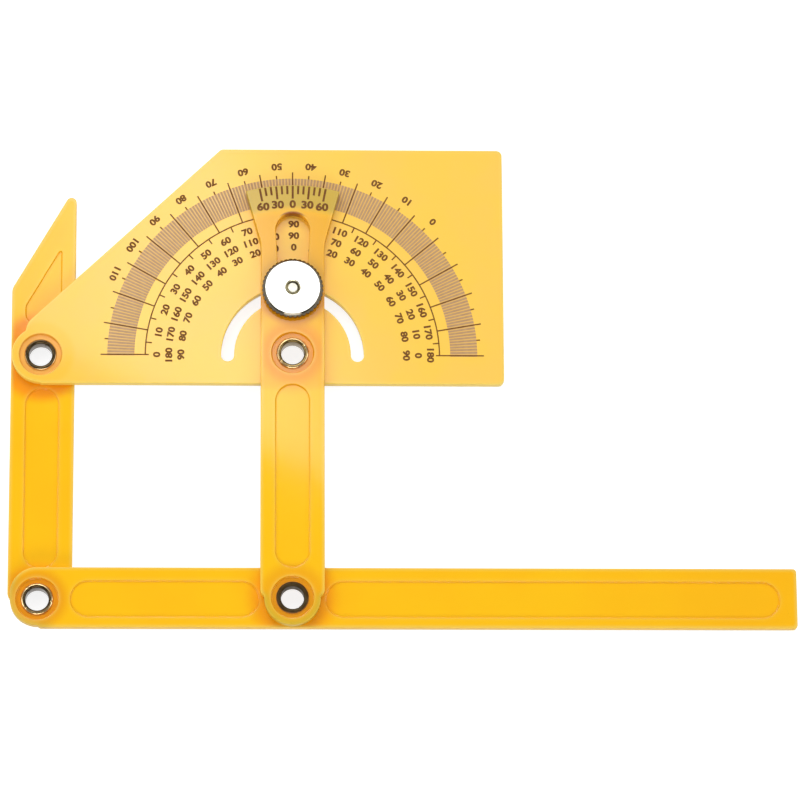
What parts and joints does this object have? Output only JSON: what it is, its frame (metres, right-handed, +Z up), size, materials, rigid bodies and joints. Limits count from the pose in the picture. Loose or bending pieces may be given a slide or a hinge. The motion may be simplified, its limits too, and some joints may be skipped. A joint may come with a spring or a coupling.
{
  "type": "angle finder",
  "caption": "Flat parallelogram angle finder: a protractor head, an indicator arm with a vernier, a pointed link and a long blade on hollow rivets, locked by a thumb nut in an arc slot.",
  "frame": {"origin": "centre of the angle scale on the axis of the main pivot, in the plane of the scale's face", "axes": "+X along the blade towards its long end, +Y towards the protractor head's top edge, +Z up out of the scale"},
  "size_m": [0.2452, 0.1553, 0.0124],
  "materials": {
    "head_plastic": "translucent amber plastic, smooth",
    "arm_plastic": "translucent amber plastic, smooth",
    "rivet_metal": "rolled sheet metal, dulled",
    "clamp_metal": "bright plated, knurled edge",
    "scale_ink": "printed dark brown ink"
  },
  "bodies": {
    "head": {"protractor_head": "head_plastic", "head_link_rivet": "rivet_metal", "head_arm_rivet": "rivet_metal"},
    "arm": {"indicator_arm": "arm_plastic", "blade_arm_rivet": "rivet_metal", "clamp_washer": "clamp_metal"},
    "link": {"pointed_link": "arm_plastic"},
    "blade": {"blade": "arm_plastic", "blade_link_rivet": "rivet_metal"},
    "screw": {"clamp_screw": "clamp_metal"},
    "nut": {"clamp_nut": "clamp_metal"}
  },
  "joints": [
    {"name": "arm_swing", "type": "hinge", "parent": "head", "child": "arm", "pos_m": [0, 0, 0], "axis": [0, 0, 1], "range_deg": [-75, 75]},
    {"name": "link_swing", "type": "hinge", "parent": "head", "child": "link", "pos_m": [-0.079, 0, 0], "axis": [0, 0, 1], "range_deg": [-75, 75]},
    {"name": "blade_swing", "type": "hinge", "parent": "arm", "child": "blade", "pos_m": [0, -0.0785, 0], "axis": [0, 0, 1], "range_deg": [-75, 75]},
    {"name": "nut_turn", "type": "hinge", "parent": "arm", "child": "nut", "pos_m": [0, 0.0204, 0], "axis": [0, 0, 1], "range_deg": [0, 360]},
    {"name": "screw_slide", "type": "slide", "parent": "arm", "child": "screw", "axis": [0, 0, 1], "range_m": [-0.0007, 0]}
  ],
  "couplings": [
    {"joint": "link_swing", "follows": "arm_swing", "ratio": 1},
    {"joint": "blade_swing", "follows": "arm_swing", "ratio": -1},
    {"joint": "nut_turn", "follows": "screw_slide", "rad_per_m": -8976}
  ]
}
